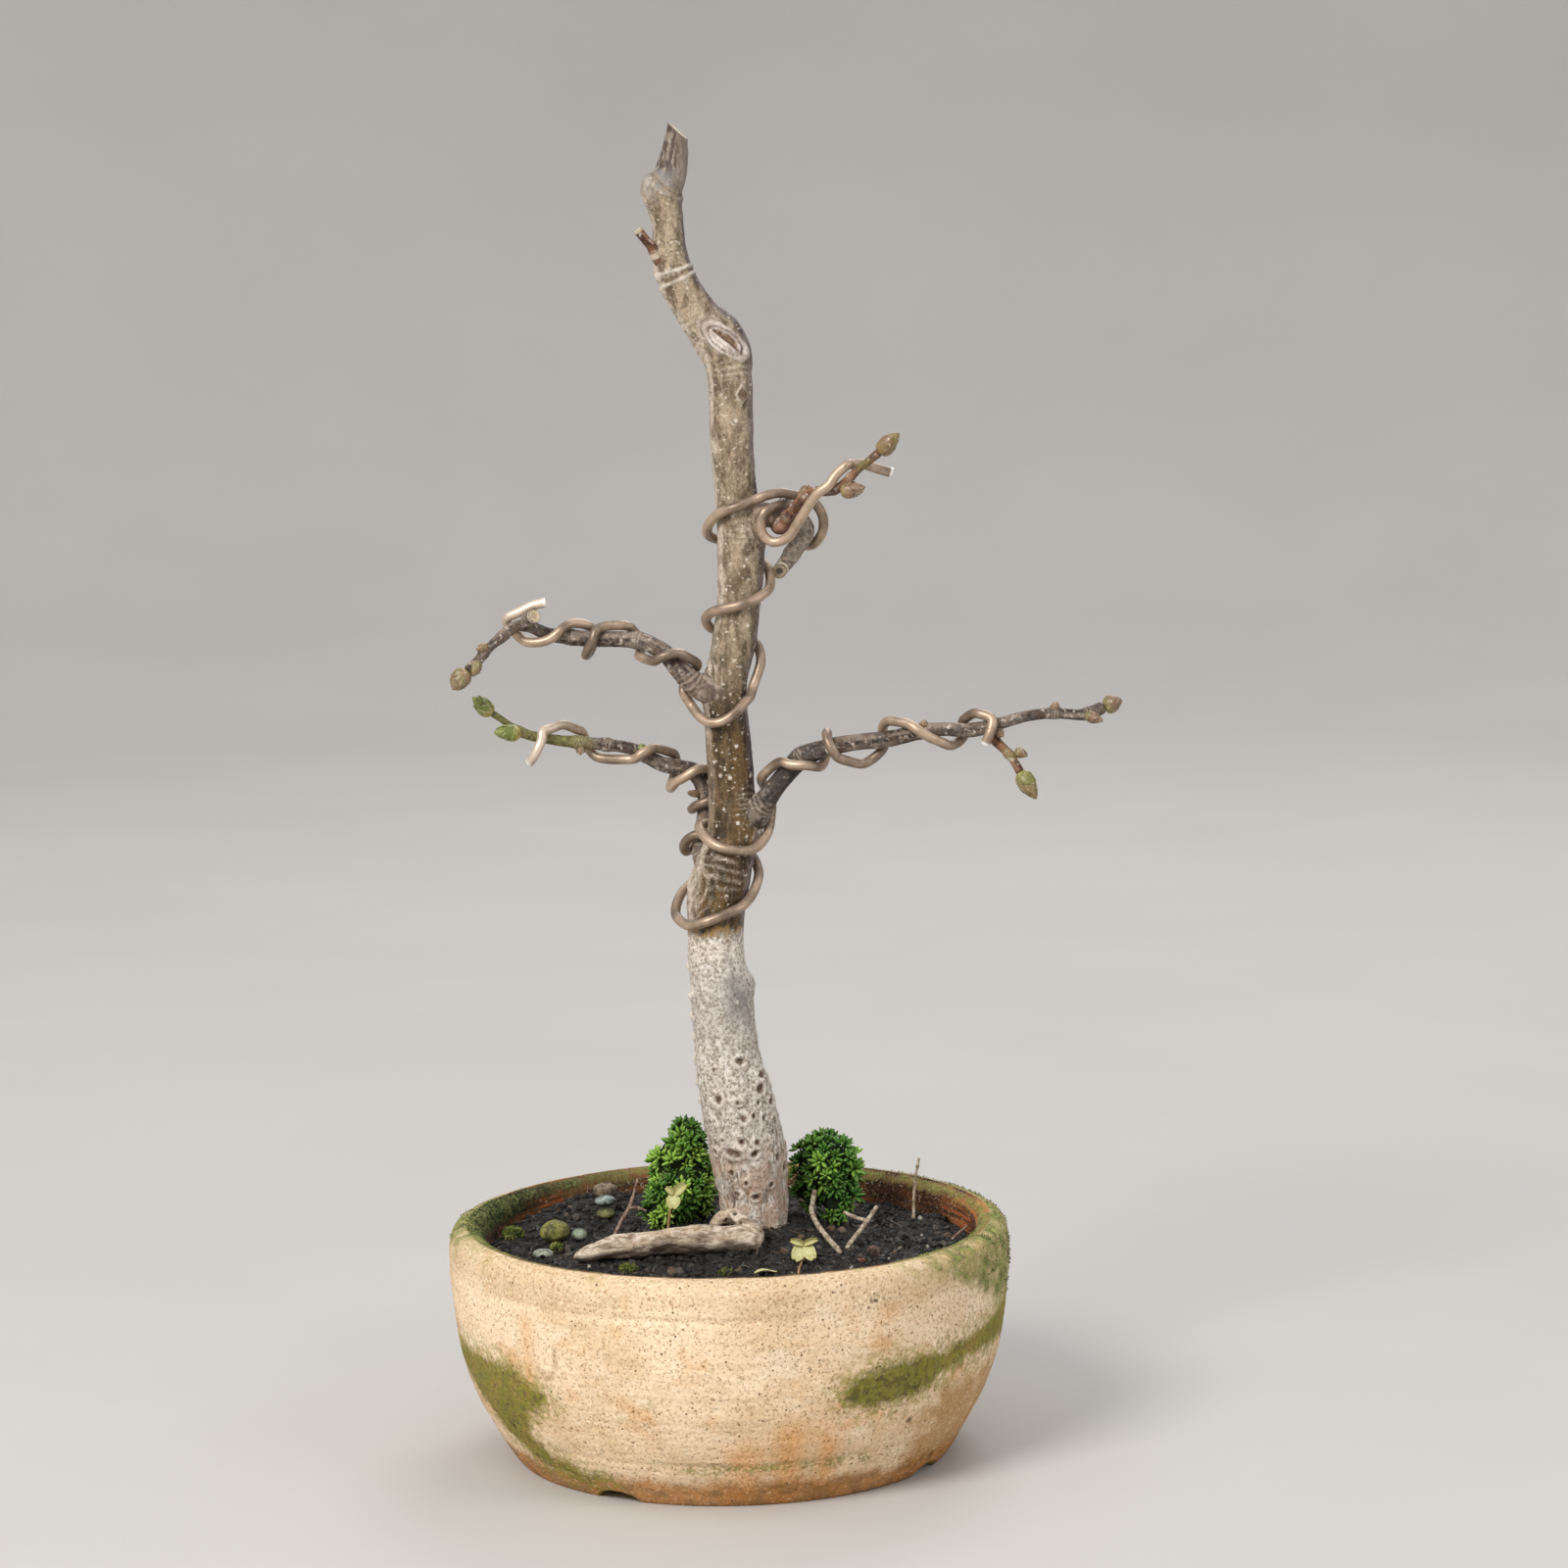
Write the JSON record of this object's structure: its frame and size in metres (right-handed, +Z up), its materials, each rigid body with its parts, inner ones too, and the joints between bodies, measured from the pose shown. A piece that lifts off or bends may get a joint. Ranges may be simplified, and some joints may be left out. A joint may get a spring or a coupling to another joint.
{
  "type": "bonsai tree in a pot",
  "caption": "Young leafless bonsai in training: slim curved trunk, wired branches with winter buds, in a round terracotta bowl of soil with moss, pebbles and small weeds.",
  "frame": {"origin": "centre of the bowl's flat underside, on the surface it stands on", "axes": "+Z up along the tree, -Y towards the front of the bowl as pictured, +X to the viewer's right"},
  "size_m": [0.241, 0.2, 0.4686],
  "materials": {
    "terracotta": "bare fired clay, fine dark speckle, mossy patches",
    "drain_mesh": "matt",
    "soil": "moist, crumbly",
    "trunk_bark": "smooth bark with pale lenticels",
    "branch_bark": "fine wrinkled bark",
    "young_bark": "smooth red-brown bark",
    "brown_bud": "waxy scales",
    "green_bud": "waxy scales",
    "training_wire": "bronze anodised, satin",
    "dead_root": "weathered, dry",
    "olive_stone": "matt",
    "grey_stone": "worn smooth",
    "bark_chip": "rough",
    "moss": "soft, fuzzy",
    "weed_leaf": "soft leaves",
    "dry_stem": "dry",
    "red_stem": "dry",
    "clover_leaf": "soft leaf"
  },
  "bodies": {
    "root": {"pot": "terracotta", "drain_screen": "drain_mesh", "soil": "soil", "trunk": "trunk_bark", "branch_upper_left": "branch_bark", "branch_lower_left": "branch_bark", "branch_right": "branch_bark", "shoot_right": "young_bark", "branch_top": "branch_bark", "shoot_top": "young_bark", "spur_top": "young_bark", "bud_upper_left_end": "brown_bud", "bud_upper_left_side": "brown_bud", "bud_upper_left_low": "brown_bud", "bud_lower_left_end": "green_bud", "bud_lower_left_side": "green_bud", "bud_lower_left_elbow": "brown_bud", "bud_lower_left_low": "brown_bud", "bud_lower_left_top": "green_bud", "bud_right_end": "brown_bud", "bud_right_low": "brown_bud", "bud_right_top": "brown_bud", "bud_right_mid": "brown_bud", "bud_right_fork": "brown_bud", "bud_right_side_end": "green_bud", "bud_right_side_low": "brown_bud", "bud_top_end": "green_bud", "bud_top_side": "brown_bud", "bud_top_low": "brown_bud", "wire_upper": "training_wire", "wire_lower": "training_wire", "surface_root": "dead_root", "pebble_olive": "olive_stone", "pebble_grey": "grey_stone", "pebble_pale": "grey_stone", "pebble_yellow": "olive_stone", "pebble_glassy": "grey_stone", "bark_block": "bark_chip", "moss_lump": "moss", "moss_bead": "moss", "moss_front": "moss", "moss_front_left": "moss", "bark_crumb": "bark_chip", "red_crumb": "bark_chip", "leafy_clump_left": "weed_leaf", "leafy_clump_right": "weed_leaf", "clump_stem": "dry_stem", "twig_forked": "dry_stem", "stalk_back": "dry_stem", "stalk_red": "red_stem", "rootlet": "red_stem", "clover_front": "clover_leaf", "clover_left": "clover_leaf", "fallen_leaf": "clover_leaf"}
  },
  "joints": []
}
